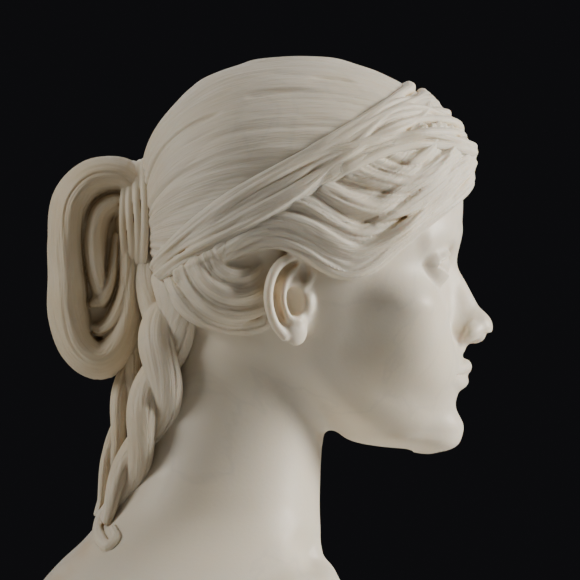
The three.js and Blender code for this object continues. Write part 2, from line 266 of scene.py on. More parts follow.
def sections_distance(coords, rows):
    """The distance to a body through level sections: z, front, back, half width, f where widest, power."""
    x, f, z = coords
    at = table_at(rows, z.ravel()).astype(np.float32)
    front, back, width, widest, power = (at[:, i].reshape(1, 1, -1) for i in range(5))
    depth = np.where(f > widest, front - widest, widest - back)
    size = (np.abs(x / width) ** power + np.abs((f - widest) / depth) ** power) ** (1 / power)
    level = (size - 1) * np.minimum(width, (front - back) / 2)
    slopes = np.gradient(level, *[c.ravel() for c in coords])
    return level / np.maximum(np.sqrt(sum(s * s for s in slopes)), 0.2)


def sections(field, rows, blend=6, cap=4.0, trim=None, margin=4):
    """A body through level sections, with rounded ends. Wider blends on it later need a wider margin."""
    rows = sorted(rows)
    reach = blend + margin
    low = (0, min(r[2] for r in rows) - reach, rows[0][0] - reach)
    high = (max(r[3] for r in rows) + reach, max(r[1] for r in rows) + reach, rows[-1][0] + reach)
    cuts, coords = field.window(low, high)
    distance = sections_distance(coords, rows)
    ends = np.maximum(rows[0][0] - coords[2], coords[2] - rows[-1][0])
    distance = smooth_max(distance, ends + 0 * distance, cap)
    if trim is not None:
        distance = smooth_max(distance, trim(*coords) + 0 * distance, 5)
    field.apply("add", cuts, distance, blend)


def sweep(field, points, blend=1.5, out=None, hub=HEAD_CENTRE, grooves=None, step=3.0, action="add"):
    """A rope of oval section along points (x, f, z, half width, half height).

    The half height points along out, or away from hub. grooves(angle, along) adds relief in millimetres.
    The rope's own segments join without a blend, and the whole rope is then blended in once."""
    path, along = spline(points, step)
    core, across, rise = path[:, :3], path[:, 3], path[:, 4]
    tangent = np.gradient(core, axis=0)
    tangent /= np.linalg.norm(tangent, axis=1)[:, None]
    away = core - np.array(hub) if out is None else np.broadcast_to(np.array(out, float), core.shape)
    normal = away - np.sum(away * tangent, axis=1)[:, None] * tangent
    normal /= np.linalg.norm(normal, axis=1)[:, None]
    side = np.cross(tangent, normal)
    widest = max(across.max(), rise.max()) + blend + 2.5
    whole, coords = field.window(core.min(axis=0) - widest, core.max(axis=0) + widest)
    lines = [c.ravel() for c in coords]
    nearest = np.full([line.size for line in lines], Field.FAR, np.float32)
    flow = np.zeros((2, *nearest.shape), np.float32)
    for i in range(len(core) - 1):
        a, run = core[i], core[i + 1] - core[i]
        reach = max(*across[i : i + 2], *rise[i : i + 2]) + blend + 2.5
        low, high = np.minimum(a, a + run) - reach, np.maximum(a, a + run) + reach
        spans = [np.searchsorted(line, (lo, hi)) for line, lo, hi in zip(lines, low, high)]
        part = tuple(slice(start, stop) for start, stop in spans)
        if min(stop - start for start, stop in spans) < 1:
            continue
        from_a = np.ix_(*[line[cut] - o for line, cut, o in zip(lines, part, a)])
        size = float(run @ run)
        raw = sum(d * r for d, r in zip(from_a, run)) / size
        t = np.clip(raw, 0, 1).astype(np.float32)
        d = [c - r * t for c, r in zip(from_a, run)]
        wide = across[i] + (across[i + 1] - across[i]) * t
        high = rise[i] + (rise[i + 1] - rise[i]) * t
        v = sum(dc * (n0 + (n1 - n0) * t) for dc, n0, n1 in zip(d, normal[i], normal[i + 1]))
        u = sum(dc * (s0 + (s1 - s0) * t) for dc, s0, s1 in zip(d, side[i], side[i + 1]))
        distance = oval(u, v, wide, high, (raw - t) * math.sqrt(size), np.minimum(wide, high))
        angle = np.arctan2(v / high, u / wide)
        length = along[i] + t * (along[i + 1] - along[i])
        if grooves is not None:
            distance = distance - grooves(angle, length)
        closer = distance < nearest[part]
        np.copyto(nearest[part], distance, where=closer)
        np.copyto(flow[0][part], angle * across[i], where=closer)
        np.copyto(flow[1][part], length, where=closer)
    reached = np.nonzero(nearest < Field.FAR)
    spots = tuple(n + cut.start for n, cut in zip(reached, whole))
    flow = (flow[0][reached], flow[1][reached], 1.0) if grooves is not None else (0, 0, 0)
    field.apply(action, spots, nearest[reached], blend, flow)


def combed(depth, locks=1.3, length=45.0, seed=0.0):
    """Relief of strands that run along a rope: depth in millimetres, and locks to a radian."""
    def relief(angle, along):
        lean = 0.25 * np.sin(along / 31 + seed)
        return depth * (strands((angle + lean) * locks + seed * 7.3, along / length + seed * 3.1) - 0.7)
    return relief


# ---- The head --------------------

SKULL = [
    # z, front, back, half width, f where widest, power
    (-1, 80, 52, 8, 68, 2.0),
    (4, 88, 34, 21, 60, 2.0),
    (13, 92, 20, 30.5, 48, 2.0),
    (25, 92, 4, 40, 34, 2.0),
    (40, 93, -18, 48.5, 22, 2.0),
    (60, 93, -46, 56.5, 14, 2.05),
    (78, 90, -64, 62.5, 10, 2.2),
    (94, 88, -78, 66, 6, 2.3),
    (112, 89, -86, 69, 0, 2.35),
    (126, 95, -89, 71, -6, 2.35),
    (142, 97.5, -90, 73, -12, 2.3),
    (158, 97, -89, 74, -14, 2.25),
    (174, 93, -84, 73, -12, 2.2),
    (190, 84, -75, 67, -8, 2.2),
    (204, 68, -59, 56, -2, 2.15),
    (215, 48, -40, 40, 2, 2.1),
    (225, 8, -4, 6, 2, 2.0),
]


def head(field):
    sections(field, SKULL, blend=12, cap=10)
    egg(field, (0, 84, 13.5), (14, 12.5, 12), 14)  # chin
    egg(field, (0, 78, 47), (28, 18, 19), 14)  # muzzle
    egg(field, (45, 58, 88), (17, 20, 12), 18, yaw=-20)  # cheekbone
    egg(field, (33, 68, 66), (17, 17, 21), 20)  # cheek
    egg(field, (36, 50, 67), (17.5, 24, 22), 14)  # side of the cheek


NOSE = [
    # as for the skull
    (62, 98, 70, 8, 86, 1.9),
    (68, 106, 70, 11.5, 86, 1.8),
    (76, 112, 70, 11.5, 86, 1.7),
    (88, 106.2, 70, 10, 84, 1.6),
    (100, 99.8, 70, 8.5, 82, 1.6),
    (112, 93.6, 70, 8, 80, 1.7),
    (122, 93.2, 70, 9, 80, 1.9),
    (130, 94, 70, 11, 80, 2.0),
]


def nose(field):
    sections(field, NOSE, blend=9, cap=3)
    egg(field, (0, 107, 73.2), (7.0, 7.8, 6.6), 8)  # tip
    egg(field, (9.6, 99, 71), (5.4, 8.4, 6.0), 5, yaw=14)  # wing
    sweep(field, [(0, 106, 69, 3, 3), (0, 98, 64, 3.4, 3.4)], 4, out=(0, 0, 1))
    egg(field, (5.0, 101.5, 63.6), (2.4, 4.4, 2.4), 2.4, "carve", yaw=16, pitch=22)
    egg(field, (15.2, 93.5, 74), (1.6, 6, 6), 6, "carve", yaw=28)  # behind the wing


AHEAD = (0, 1, 0)


def mouth(field):
    lower = [(0, 97.0, 40.8, 4.9, 4.3), (9, 95.4, 41, 4.7, 4.1), (17, 90.8, 42.6, 3.2, 3.0),
             (23, 85.2, 44.6, 1.5, 1.5)]
    upper = [(0, 99.4, 49.2, 4.0, 3.4), (5, 99.2, 50.4, 4.1, 3.4), (13, 95.0, 48.4, 3.3, 3.0),
             (23, 85.6, 45.2, 1.5, 1.6)]
    parting = [(0, 103.3, 45.0, 0.7, 1.2), (6, 102.2, 45.7, 0.7, 1.2), (14, 97, 45.1, 0.6, 1.1),
               (20, 91.5, 45, 0.4, 0.7)]
    groove = [(0, 102.5, 61, 2.0, 2.0), (0, 104.4, 54.5, 2.6, 2.2)]  # from the nose to the upper lip
    sweep(field, lower, 3.5, out=AHEAD)
    sweep(field, upper, 3.0, out=AHEAD)
    sweep(field, parting, 2.0, out=AHEAD, action="carve")
    sweep(field, groove, 4, out=AHEAD, action="carve")
    egg(field, (0, 103.5, 27.5), (15, 6, 5.5), 11, "carve")  # under the lower lip


EYE = (31.0, 76.0, 111.0)
EYE_RADIUS = 12.6
SLIT = 14.0  # half the width between the eye's corners
UPPER_LID = 2.3  # how far the lids stand off the ball
LOWER_LID = 1.7


def eye(field):
    egg(field, (29, 98.5, 112), (17, 12.5, 9), 10, "carve", yaw=-12)  # socket
    egg(field, (17.5, 93, 109), (5, 8.5, 7), 8, "carve")  # inner corner
    brow = [(12, 88, 124, 4, 3), (22, 87.5, 128, 4, 3.2), (33, 83, 129.5, 4, 3.2), (44, 74, 126, 4, 3)]
    sweep(field, brow, 10, out=(0.4, 1, 0))
    cuts, coords = field.window([c - 22 for c in EYE], [c + 22 for c in EYE])
    x, f, z = (c - o for c, o in zip(coords, EYE))
    ball = np.sqrt(x**2 + f**2 + z**2) - EYE_RADIUS
    slit = np.clip((x + 0.3) / SLIT, -1, 1)
    arch = 1 - slit * slit
    corners = 0.9 * slit - 0.9  # the outer corner is the higher one
    upper = 6.4 * arch**0.9 + corners
    lower = -5.2 * arch + corners
    field.apply("add", cuts, smooth_max(ball - UPPER_LID, upper - z + 0 * ball, 1.2), 2.2)
    field.apply("add", cuts, smooth_max(ball - LOWER_LID, z - lower + 0 * ball, 1.4), 3.0)
    field.apply("add", cuts, ball, 0.4)
    lid_fold = [(21, 89, 119, 0.6, 0.8), (27, 91, 121.2, 0.8, 0.9), (34, 89.6, 121.2, 0.8, 0.9),
                (42, 84, 118, 0.6, 0.8)]
    sweep(field, lid_fold, 4.0, out=(0.2, 1, 0), action="carve")


EAR_YAW = 26.0  # how far the back of the ear stands off the head, in degrees
EAR_OUT = (*cos_sin(EAR_YAW), 0.0)
EAR_ROOT = (66.5, 6.0)  # x and f where the ear leaves the head


def ear_point(f, z, lift):
    """A point on the ear's own plane, lifted off it."""
    c, s, _ = EAR_OUT
    back = EAR_ROOT[1] - f
    return EAR_ROOT[0] + back * s * 0.9 + lift * c, EAR_ROOT[1] - back * c * 1.06 + lift * s, z


def ear_line(field, points, blend, action="add"):
    """A swept form on the ear: points (f, z, half width, half height, lift)."""
    rope = [(*ear_point(f, z, lift), wide, high) for f, z, wide, high, lift in points]
    sweep(field, rope, blend, out=EAR_OUT, action=action)


def ear(field):
    egg(field, ear_point(-7, 92, -2.5), (3.2, 13, 22), 4, yaw=EAR_YAW)  # plate
    egg(field, ear_point(-1, 88, -7), (7, 9, 17), 7, yaw=EAR_YAW)  # root
    egg(field, ear_point(-3, 71.5, -0.5), (4.0, 7.0, 8.0), 4, yaw=EAR_YAW)  # lobe
    rim = [(0, 95, 2.0, 2.0, -1), (5, 102, 2.4, 2.4, 0.5), (6.5, 110, 2.6, 2.8, 1),
           (1, 115.5, 2.7, 3.0, 1.5), (-8, 115, 2.8, 3.2, 2), (-16.5, 108, 2.8, 3.3, 2.2),
           (-20.5, 97, 2.7, 3.2, 2.2), (-20, 86, 2.7, 3.0, 1.8), (-16, 76, 2.8, 2.8, 1),
           (-10, 69, 3, 2.6, 0.5)]
    inner_rim = [(-2, 110, 1.6, 1.6, 0), (-8, 104, 2.2, 2.4, 1), (-11.5, 96, 2.3, 3, 1.5),
                 (-11.5, 88, 2.3, 3, 1.5), (-8, 80, 2.6, 3, 1.2), (-2.5, 78, 2.6, 2.8, 1)]
    furrow = [(-4, 111.5, 1.4, 1.6, 0.5), (-12, 107.5, 1.6, 2, 0.8), (-16, 97, 1.6, 2.2, 1),
              (-16, 87, 1.6, 2, 1), (-13, 79, 1.4, 1.6, 1)]
    ear_line(field, rim, 1.6)
    ear_line(field, inner_rim, 2.0)
    ear_line(field, furrow, 1.6, "carve")
    egg(field, ear_point(-4, 89.5, 0), (8, 5.6, 8.6), 2.5, "carve", yaw=EAR_YAW)  # bowl
    egg(field, ear_point(1.5, 106, 1), (3.6, 3.2, 5), 2.5, "carve", yaw=EAR_YAW)  # upper hollow
    egg(field, ear_point(4.8, 88, 0), (3.0, 2.8, 5.2), 3, yaw=EAR_YAW)  # tragus


# ---- Hair on the head --------------------

CAP = [
    (64, 4, -60, 50, -24, 2.1),
    (78, 24, -72, 62, -22, 2.15),
    (92, 50, -82, 69.5, -20, 2.2),
    (106, 68, -88, 74, -16, 2.25),
    (120, 82, -92, 77, -14, 2.3),
    (140, 95, -94, 79.5, -14, 2.3),
    (160, 101, -95, 80.5, -14, 2.25),
    (181, 99, -92.5, 78.5, -12, 2.2),
    (197, 89, -84, 71.5, -8, 2.2),
    (207.6, 79, -75, 63.5, -4, 2.15),
    (216.6, 67, -66, 54, -2, 2.1),
    (223.4, 55, -56.5, 45, 0, 2.1),
    (230.4, 37, -38, 31, 1, 2.05),
    (235.4, 18, -19, 16, 1, 2.0),
    (237.2, 4, -3, 3.5, 1, 2.0),
]
# the hair's lower edge: degrees from the front, z
HAIRLINE = [(0, 160), (14, 153), (30, 141), (45, 126), (58, 112), (70, 105.5), (80, 109), (90, 116),
            (104, 120), (116, 114), (128, 98), (140, 84), (155, 76), (170, 78), (180, 80)]
# the height of one wave above the hairline: degrees from the front, millimetres
WAVE_GAP = [(0, 13), (20, 8.5), (44, 6.5), (58, 9.5), (70, 12), (85, 13), (100, 11), (120, 8), (140, 6),
            (180, 6)]
# the middle of the headband: f, z
BAND_LINE = [(-100, 100), (-88, 106), (-70, 120), (-51, 132.5), (-3, 160.5), (30, 180), (55, 193.5),
             (75, 199.5), (90, 200), (110, 200)]


def azimuth(x, f):
    """Degrees about the head's upright middle line, from the front."""
    return np.degrees(np.arctan2(x, f - HEAD_CENTRE[1]))


def hair_cap(field):
    def above_hairline(x, f, z):
        return curve(HAIRLINE, azimuth(x, f)) - z

    sections(field, CAP, blend=5, trim=above_hairline)


def dome_relief(x, f, z):
    """Strands over the crown to the tie, spaced by their angle about a line through the head."""
    turn_angle = np.arctan2(z - (134 + 0.1 * f), x)
    along = (f + 100) / 60
    wander = 0.5 * noise(along * 1.1 + 4, turn_angle * 2.2)
    locks = strands(turn_angle * 7.0 + wander + 2, along + 0.3 * wander)
    strokes = ease(0.3, 0.8, noise(turn_angle * 15 + 40, along * 1.5 + 11))
    share = ease(-2, 6, z - curve(BAND_LINE, f))
    parting = 0.35 + 0.65 * ease(3, 20, x)
    return parting * (1.5 * (locks - 0.66) - 1.5 * strokes), share, turn_angle * 70, f


def wave_relief(x, f, z):
    """Waves from the parting over the temple and the ear, spaced by their height above the hairline."""
    around = azimuth(x, f)
    height = z - curve(HAIRLINE, around)
    rank = height / curve(WAVE_GAP, around)
    share = ease(-0.3, 0.6, rank) * ease(4, -4, z - curve(BAND_LINE, f)) * ease(128, 112, around)
    wave = strands(rank * 0.95 + 0.35 * np.sin(around / 22), around / 58)
    return 2.8 * (wave - 0.62), share, height, around * 1.4


ROLL_F, ROLL_Z = -36, 124  # the middle of the roll's arcs


def roll_relief(x, f, z):
    """Nested arcs on the roll behind the ear."""
    ring = np.hypot((f - ROLL_F) / 42, (z - ROLL_Z) / 50)
    turn_angle = np.arctan2(z - ROLL_Z, f - ROLL_F)
    top = np.minimum(112 - 0.4 * (f + 30), 116)
    share = ease(-16, -24, f) * ease(14, 0, z - top) * ease(10, 18, x)
    share = share * ease(0.25, 0.4, ring) * ease(1.08, 0.98, ring)
    return 1.3 * (strands(ring * 9.0 + 0.4, turn_angle * 0.8) - 0.62), share, ring * 45, turn_angle * 34


def lock_on_head(field, points, blend, **options):
    """A lock lying on the head: points (angle, z, half width, half height, lift)."""
    rope = [(*field.shell(angle, z, lift), wide, high) for angle, z, wide, high, lift in points]
    sweep(field, rope, blend, **options)


WAVE_LOCKS = [
    # angle, z, half width, half height, lift
    [(3, 165, 4, 3, 0.5), (13, 160, 6, 4.5, 1), (25, 150, 6, 4.5, 1), (38, 137, 6, 4.5, 1),
     (50, 123, 6.5, 5, 1), (60, 112, 6.5, 5.5, 1.5), (70, 108, 6.5, 6, 1.5), (80, 112, 6.5, 5.5, 1.5),
     (90, 120, 6.5, 5, 1), (102, 126, 7, 4.5, 0.5), (116, 122, 7, 4.5, 0.5), (128, 112, 6, 4, 0),
     (138, 104, 5, 3, 0)],
    [(3, 173, 5, 4, 1), (14, 169, 6, 5, 1.5), (27, 158, 5.5, 5, 1.5), (38, 145, 5.5, 5, 1),
     (48, 132, 6, 5, 1), (58, 122, 6.5, 5, 1), (67, 118.5, 6.5, 5.5, 1), (77, 123, 7, 5.5, 1),
     (88, 132, 7, 5, 0.5), (100, 138, 6.5, 4, 0), (112, 136, 6, 3, 0)],
    [(18, 174, 3, 1.5, -1), (27, 166, 4.5, 3, 0), (36, 156, 5, 3.5, 0), (46, 145, 5.5, 4, 0),
     (56, 134, 6, 4.5, 0.5), (66, 130, 6, 5, 0.5), (76, 135, 6.5, 5, 0.5), (87, 144, 6.5, 4.5, 0),
     (98, 149, 6, 3, 0)],
    [(3, 183, 5, 4, 1), (14, 181, 6.5, 5.5, 1.5), (26, 175, 6, 5, 1.5), (38, 165, 5.5, 4.5, 1),
     (50, 152, 6, 4.5, 0), (60, 144, 6, 4.5, 0), (71, 148, 6, 4, 0), (82, 156, 5, 3, 0)],
    [(20, 193, 4, 2, -0.5), (30, 184, 5.5, 3.5, 0), (38, 175, 6, 4, 0), (48, 165, 6, 4, 0),
     (60, 160, 5.5, 3.5, 0), (72, 164, 5, 3, 0)],
    [(5, 191, 4, 2.5, 0), (16, 191, 6, 3.5, 0), (30, 189, 6, 3.5, 0), (44, 182, 5, 3, 0)],
    [(3, 178, 5, 3, 0.5), (14, 175, 6, 3.5, 0.5), (26, 167, 6, 3.5, 0.5), (38, 155, 5, 3.5, 0),
     (50, 142, 4.5, 3, -0.5), (60, 134, 3, 2, -1)],
]


def waves(field):
    for i, lock in enumerate(WAVE_LOCKS):
        lock_on_head(field, lock, 1.6, grooves=combed(1.0, 1.7, 50, i * 1.7))


ROLL_ARCS = ((18, 4.8), (27, 5.2), (36, 5.2), (44, 4.8))  # radius and half width of each lock


def roll(field):
    """The soft roll of hair that hangs behind the ear."""
    egg(field, (46, -46, 100), (31, 32, 27), 5, pitch=14, yaw=-24)
    for n, (radius, wide) in enumerate(ROLL_ARCS):
        path = []
        for degrees in range(188, 315, 14):
            c, s = cos_sin(degrees)
            f, z = ROLL_F + radius * c, ROLL_Z + 1.13 * radius * s
            taper = 1 - 0.5 * ease(280, 312, degrees)
            path.append((field.side(f, z) - 1.4, f, z, wide * taper, 4.2 * taper))
        sweep(field, path, 1.4, out=(1, -0.3, -0.2), grooves=combed(0.8, 1.7, 50, n * 2.2))


# ---- The headband --------------------

BAND_SLOPE = 0.86  # cosine of the band's slant
BAND_START = 160.0  # the height where the search for a point on the band begins
BAND_STEPS = 8
BAND_ANGLES = range(0, 181, 10)
# half the width of the cloth under the folds: degrees from the front, millimetres
BAND_WIDTH = [(-20, 17), (0, 17), (45, 11.5), (95, 10), (165, 6), (190, 5)]


def band_point(field, angle, offset, lift):
    """A point on the hair, offset across the band from its middle line, found by stepping closer to it."""
    z = BAND_START
    for _ in range(BAND_STEPS):
        f = field.shell(angle, z)[1]
        z = float(curve(BAND_LINE, f)) + offset / BAND_SLOPE
    return field.shell(angle, z, lift)


def across_band(angle, front, temple, side, nape):
    """A value that goes smoothly from the front round to the nape."""
    marks = [(-20, front), (0, front), (45, temple), (95, side), (165, nape), (190, nape)]
    return float(curve(marks, angle))


def from_middle(path):
    """The path with its first point on the middle plane."""
    return [(0.0, *path[0][1:]), *path[1:]]


FOLDS = [
    # across the band at the front, the temple, the side and the nape; half width, half height and lift
    (17, 11, 10, 8, 3.4, 3.6, 0.0),
    (9, 7.5, 5.5, 4, 3.3, 4.2, 0.2),
    (1, 2.5, 1, 0.5, 3.2, 4.0, 0.0),
    (-6, -3, -3.5, -3, 3.2, 4.2, 0.3),
    (-12, -9, -7.5, -6, 3.2, 3.8, 0.0),
    (-19, -13.5, -10.5, -8.5, 3.0, 3.2, -0.3),
    (14, -5, 7.5, 2, 2.4, 3.2, 1.8),
    (-9, 7, -9, -4, 2.3, 3.0, 1.8),
    (5, 12, -1, 6, 2.1, 3.0, 1.2),
    (-16, -9, 3, -1, 2.1, 3.0, 1.2),
]


def headband(band, hair):
    cloth = []
    for angle in BAND_ANGLES:
        width = float(curve(BAND_WIDTH, angle))
        cloth.append((*band_point(hair, max(angle, 0.5), -1, 0.0), width, 2.4))
    sweep(band, from_middle(cloth), 0.5, grooves=combed(0.3, 5, 60, 4))
    for i, (front, temple, side, nape, wide, high, lift) in enumerate(FOLDS):
        path = []
        for angle in BAND_ANGLES:
            offset = across_band(angle, front, temple, side, nape)
            pinch = 1 - 0.4 * ease(110, 165, angle)
            bunch = 1 + 0.25 * ease(35, 5, angle)
            sway = 1.1 * math.sin(angle / 17 + i * 1.9)
            x, f, z = band_point(hair, max(angle, 0.5), offset * pinch + sway, lift)
            path.append((x, f, z, wide * pinch * bunch, high * pinch * bunch))
        sweep(band, from_middle(path), 0.5, grooves=combed(0.3, 1.1, 60, i * 2.3))


# ---- The knot, its tie and the nape locks --------------------


KNOT_LOCKS = [
    # relief, then f, z, half thickness, half breadth
    (1.6, [(-98, 158, 11, 24), (-109, 164, 12, 27), (-124, 162, 12.5, 28), (-135.5, 149, 13, 29),
           (-139, 128, 12.5, 30), (-138.5, 104, 12.5, 30), (-138, 82, 13, 29), (-132, 63, 13, 28),
           (-120, 55, 13, 27), (-109, 63, 12, 26), (-103, 82, 10, 25), (-102, 104, 8.5, 24),
           (-102, 126, 7.5, 22)]),
    (1.0, [(-100, 146, 6, 20), (-109, 149, 8, 23), (-119, 143, 8.5, 25), (-123, 130, 8.5, 26),
           (-122.5, 114, 8, 26), (-120.5, 101, 7, 24), (-118, 91, 5.5, 20)]),
    (0.8, [(-109, 128, 4.5, 17), (-110.5, 114, 5, 20), (-113, 101, 5.5, 22), (-118, 91, 6, 22),
           (-124, 88, 4, 17)]),
    (1.0, [(-103, 118, 5, 20), (-104.5, 98, 6, 23), (-110, 80, 6.5, 24), (-119, 72, 5.5, 21),
           (-126, 74, 4, 15)]),
]


def knot(field):
    """Broad locks, one inside the other, round a core."""
    egg(field, (0, -120, 108), (12, 22, 52), 4)
    for i, (depth, lock) in enumerate(KNOT_LOCKS):
        path = [(0, *point) for point in lock]
        sweep(field, path, 1.6, out=(1, 0, 0), grooves=combed(depth, 2.1, 60, i * 1.3 + 0.4), step=2.5)


TIE_Z = 138.0
TIE_STEPS = 12
TIE_TURNS = ((-104.5, 34.1), (-100.5, 33.5), (-96.5, 34.3), (-92.5, 35.9))  # f and half height


def tie(field):
    """Turns of ribbon round the stalk of the knot."""
    for i, (f, height) in enumerate(TIE_TURNS):
        width = 25 + 2.0 * i
        ring = []
        for step in range(TIE_STEPS + 1):
            t = math.pi * step / TIE_STEPS
            wavy = f + 0.8 * math.sin(3 * t + i)
            ring.append((width * math.sin(t), wavy, TIE_Z + height * math.cos(t), 2.3, 2.2))
        sweep(field, ring, 0.8, hub=(0, f, TIE_Z))
    egg(field, (0, -99, TIE_Z), (25, 12, 33), 2)  # the stalk


def twist(field, path, turns, radius, strand, phase, seed):
    """Two locks of hair twisted round each other along path (x, f, z), from thick to thin."""
    points, along = spline(path, 4.0)
    share = along / along[-1]
    tangent = np.gradient(points, axis=0)
    tangent /= np.linalg.norm(tangent, axis=1)[:, None]
    across = np.cross(tangent, (1.0, 0.0, 0.0))
    across /= np.linalg.norm(across, axis=1)[:, None]
    over = np.cross(across, tangent)
    for n in range(2):
        angle = 2 * math.pi * (turns * share**0.9 + n / 2) + phase
        swell = np.sin(np.pi * (share * 0.8 + 0.12)) ** 0.5 * (1 - 0.45 * share)
        offset = (radius * swell)[:, None]
        core = points + offset * (np.cos(angle)[:, None] * across + np.sin(angle)[:, None] * over)
        rope = np.column_stack([core, strand * swell, strand * swell * 0.86])
        sweep(field, rope[::2], 0.9, hub=(0, -30, 20), grooves=combed(0.75, 1.5, 36, seed + n * 2.1))


def nape_locks(field, figure):
    """A twist on each side with a curl at its end, and a thinner one nearer the middle."""
    near = [(27, -76, 102), (32, -77, 82), (34, -80, 62), (33, -84, 38), (31, -91, 14), (28, -100, -8),
            (27, -109, -27), (28, -115, -40)]
    start = [(10, -92, 122, 9, 7), (18, -91, 102, 10, 8), (25, -87, 82, 8, 7), (28, -84, 66, 5, 5)]
    back = [(5, -94, 84), (6, -99, 62), (7, -103, 40), (7, -108, 18), (7, -113, -4), (8, -118, -26),
            (9, -121, -38)]
    curl = [(-113, -34, 5), (-118, -41, 4.6), (-119, -49, 4.2), (-113.5, -54.5, 3.8), (-108, -50, 3.2),
            (-110, -44.5, 2.4)]
    twist(field, near, turns=1.7, radius=8.6, strand=13.6, phase=0.6, seed=0.3)
    sweep(field, start, 0.9, hub=(0, -50, 90), grooves=combed(0.7, 1.5, 36, 4))
    twist(field, back, turns=1.5, radius=4.6, strand=6.8, phase=2.2, seed=5.3)
    rope = [(figure.side(f, z) + 1.0, f, z, size, 0.9 * size) for f, z, size in curl]
    sweep(field, rope, 1.0, out=(1, -0.6, 0.3), grooves=combed(0.3, 1.3, 20, 2), step=2)


# ---- Neck, shoulders and chest --------------------

BODY = [
    (-262, 60, -160, 128, -62, 2.3),
    (-215, 64, -168, 142, -62, 2.3),
    (-170, 62, -174, 150, -62, 2.35),
    (-135, 52, -175, 150, -62, 2.35),
    (-105, 39, -170, 142, -62, 2.3),
    (-90, 31, -163, 128, -60, 2.25),
    (-78, 24, -154, 108, -60, 2.2),
    (-66, 17, -143, 88, -58, 2.15),
    (-54, 13, -130, 73, -56, 2.1),
    (-42, 12, -120, 63, -53, 2.1),
    (-20, 12, -106, 54, -47, 2.1),
    (0, 13, -97, 49.5, -42, 2.1),
    (30, 17, -86, 47, -36, 2.1),
    (60, 22, -76, 47, -30, 2.1),
    (100, 22, -70, 47, -28, 2.1),
]
CUT = [
    (-232, -22, -102, 44, -62, 2.2),
    (-222, -7, -117, 76, -62, 2.2),
    (-207, 20, -144, 117, -62, 2.2),
    (-180, 50, -171, 160, -62, 2.2),
    (-144, 74, -196, 196, -62, 2.2),
    (-90, 90, -214, 225, -62, 2.2),
    (240, 120, -240, 260, -62, 2.2),
]


def body(field):
    sections(field, BODY, 16, cap=8, margin=60)
    egg(field, (142, -62, -144), (49, 50, 55), 34)  # shoulder
    egg(field, (148, -60, -185), (40, 44, 70), 24)  # upper arm
    collar = [(18, 11, -74, 4, 3), (48, 7, -74, 4, 3), (88, -9, -81, 4.5, 3), (122, -36, -101, 4, 2)]
    sweep(field, collar, 12, out=(0, 0.5, 1), step=5)  # collar bone
    egg(field, (0, 23, -66), (8, 7, 9), 14, "carve")  # hollow of the throat
    egg(field, (50, 9, -60), (22, 7, 7), 16, "carve")  # above the collar bone
    egg(field, (50, 30, -190), (44, 40, 44), 34)  # breast


def chest_cut(field):
    cuts, coords = field.window((0, -200, -262), (200, 140, 70))
    distance = np.maximum(sections_distance(coords, CUT), CUT[0][0] - coords[2])
    field.apply("keep", cuts, distance, 3.5)
    x, f, z = coords
    bore = np.maximum(np.hypot(x, f - PIVOT_F) - BORE_RADIUS, z + FOOT_DROP - BORE_DEPTH)
    field.apply("carve", cuts, bore + 0 * z, 0.5)


# ---- Meshing --------------------


def new_object(name, data):
    """An object in the scene."""
    obj = bpy.data.objects.new(name, data)
    bpy.context.scene.collection.objects.link(obj)
    return obj


def mesh_from(name, spots, quads):
    """A smooth-shaded object from points in metres and quads of their numbers."""
    mesh = bpy.data.meshes.new(name)
    mesh.vertices.add(len(spots))
    mesh.vertices.foreach_set("co", spots.astype(np.float32).ravel())
    mesh.loops.add(quads.size)
    mesh.loops.foreach_set("vertex_index", quads.astype(np.int32).ravel())
    mesh.polygons.add(len(quads))
    mesh.polygons.foreach_set("loop_start", np.arange(0, quads.size, 4, dtype=np.int32))
    mesh.update(calc_edges=True)
    mesh.polygons.foreach_set("use_smooth", np.ones(len(mesh.polygons), bool))
    return new_object(name, mesh)


def without_specks(points, quads, least=0.01):
    """Leaves out loose parts with less than this share of the faces, such as pockets between locks."""
    label = np.arange(len(points))
    while True:
        roots = label[quads]
        lowest = roots.min(axis=1)
        if (roots == lowest[:, None]).all():
            break
        np.minimum.at(label, roots, lowest[:, None])
        while (label[label] != label).any():
            label = label[label]
    part = label[quads[:, 0]]
    kept = quads[np.bincount(part)[part] > least * len(quads)]
    used, renumbered = np.unique(kept, return_inverse=True)
    return points[used], renumbered.reshape(-1, 4)


def sample(values, *steps):
    """Grid values read between the grid points, at places given in grid steps."""
    corners, weights = [], []
    for v, n in zip(steps, values.shape):
        v = np.clip(v, 0, n - 1.001)
        corners.append(v.astype(int))
        weights.append(v - corners[-1])
    total = 0
    for offsets in np.ndindex(2, 2, 2):
        share = 1.0
        for weight, offset in zip(weights, offsets):
            share = share * (weight if offset else 1 - weight)
        total = total + share * values[tuple(c + offset for c, offset in zip(corners, offsets))]
    return total


# An occlusion measure, from which the marble paints brown shade into the hollows.
def depth_in_hollow(field, x, f, z, normals):
    """From 0 in the open to 1 in a deep hollow, by how near other walls are in front of the surface."""
    def room(reach):
        spot = [np.abs(x + normals[:, 0] * reach), f + normals[:, 1] * reach, z + normals[:, 2] * reach]
        steps = [np.interp(v, line, np.arange(len(line))) for v, line in zip(spot, field.lines)]
        return sample(field.value, *steps)

    slope = np.clip(room(1.0), 0.35, 1.0)  # the field's own scale near the surface
    shade = 0
    for reach, weight in ((2.0, 0.3), (4.0, 0.35), (8.0, 0.35)):
        shade = shade + weight * np.clip(1.0 - room(reach) / (reach * slope), 0, 1)
    return shade


STAIN_SPOTS = ((-30, -134, -66, 16), (-22, -122, -58, 9), (-48, -140, -84, 12))


def stain_at(x, f, z):
    """A faint iron stain on one side of the upper back."""
    amount = 0
    for sx, sf, sz, size in STAIN_SPOTS:  # x, f, z and radius
        away = np.sqrt((x - sx) ** 2 + (f - sf) ** 2 + (z - sz) ** 2) / size
        amount = amount + np.exp(-away * away)
    return np.clip(amount * (0.75 + 0.5 * noise(f / 7, z / 5)), 0, 1)


